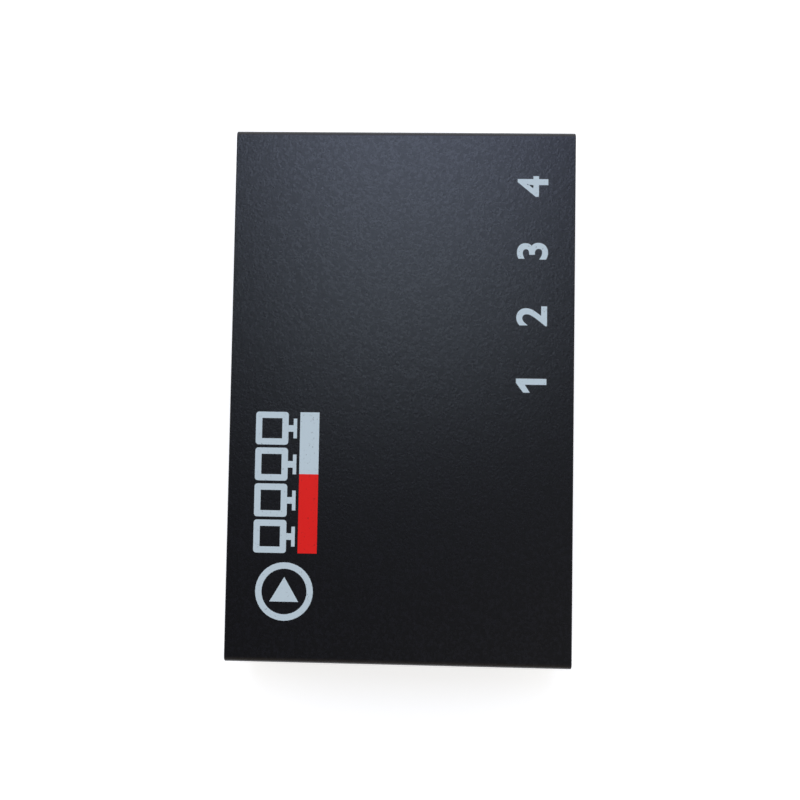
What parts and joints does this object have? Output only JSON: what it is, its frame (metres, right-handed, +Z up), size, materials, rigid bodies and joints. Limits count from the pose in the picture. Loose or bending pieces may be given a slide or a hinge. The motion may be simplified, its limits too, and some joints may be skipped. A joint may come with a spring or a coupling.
{
  "type": "video splitter box",
  "caption": "Small flat box in a folded black steel case that feeds one digital video input to several outputs, with a barrel power jack and a slide switch.",
  "frame": {"origin": "on the surface that the rubber feet stand on, under the middle of the case", "axes": "+X along the long side of the case, +Y from the input panel to the output panel, +Z up"},
  "size_m": [0.106, 0.0698, 0.0216],
  "materials": {
    "case_paint": "fine-textured black powder coat, satin",
    "foot_rubber": "matt moulded rubber",
    "black_screw": "black oxide, slightly shiny",
    "zinc_steel": "zinc plated",
    "board_laminate": "green solder mask, satin",
    "socket_steel": "nickel plated pressed steel",
    "socket_plastic": "moulded black, glass filled",
    "gold_contact": "gold flash on bronze",
    "jack_plastic": "moulded black",
    "jack_metal": "nickel plated",
    "switch_steel": "tinned steel",
    "switch_plastic": "moulded black",
    "switch_metal": "silver plated",
    "power_lens": "tinted clear resin, unlit",
    "status_lens": "tinted clear resin, unlit",
    "tinned_lead": "tinned",
    "chip_resin": "moulded black resin",
    "thermal_pad": "soft tape",
    "sink_aluminium": "black anodised",
    "ferrite": "moulded ferrite powder",
    "capacitor_can": "drawn can",
    "capacitor_plastic": "moulded black",
    "crystal_steel": "drawn and plated",
    "resistor_body": "glazed",
    "ceramic_body": "fired ceramic"
  },
  "bodies": {
    "case": {"top_cover": "case_paint", "base_tray": "case_paint", "foot_front_left": "foot_rubber", "foot_rear_left": "foot_rubber", "foot_front_right": "foot_rubber", "foot_rear_right": "foot_rubber", "cover_screws": "black_screw", "board_screws": "zinc_steel", "board_standoffs": "zinc_steel", "circuit_board": "board_laminate", "input_socket_shell": "socket_steel", "input_socket_insulator": "socket_plastic", "input_socket_contacts": "gold_contact", "output_socket_1_shell": "socket_steel", "output_socket_1_insulator": "socket_plastic", "output_socket_1_contacts": "gold_contact", "output_socket_2_shell": "socket_steel", "output_socket_2_insulator": "socket_plastic", "output_socket_2_contacts": "gold_contact", "output_socket_3_shell": "socket_steel", "output_socket_3_insulator": "socket_plastic", "output_socket_3_contacts": "gold_contact", "output_socket_4_shell": "socket_steel", "output_socket_4_insulator": "socket_plastic", "output_socket_4_contacts": "gold_contact", "jack_housing": "jack_plastic", "jack_pin": "jack_metal", "jack_spring": "jack_metal", "jack_side_contact": "jack_metal", "switch_frame": "switch_steel", "switch_base": "switch_plastic", "switch_terminals": "switch_metal", "power_lamp_lens": "power_lens", "status_lamp_1_lens": "status_lens", "status_lamp_2_lens": "status_lens", "status_lamp_3_lens": "status_lens", "status_lamp_4_lens": "status_lens", "lamp_leads": "tinned_lead", "splitter_chip_leads": "tinned_lead", "buffer_chip_leads": "tinned_lead", "memory_chip_leads": "tinned_lead", "regulator_leads": "tinned_lead", "splitter_chip": "chip_resin", "buffer_chips": "chip_resin", "memory_chip": "chip_resin", "voltage_regulators": "chip_resin", "protection_diode": "chip_resin", "thermal_tape": "thermal_pad", "heatsink": "sink_aluminium", "power_inductor": "ferrite", "capacitor_cans": "capacitor_can", "capacitor_bases": "capacitor_plastic", "crystal_base": "capacitor_plastic", "crystal_can": "crystal_steel", "chip_resistors": "resistor_body", "chip_capacitors": "ceramic_body"},
    "slider": {"switch_slider": "switch_plastic", "switch_wiper": "switch_metal"}
  },
  "joints": [
    {"name": "power_switch_slide", "type": "slide", "parent": "case", "child": "slider", "axis": [1, 0, 0], "range_m": [0, 0.002]}
  ]
}
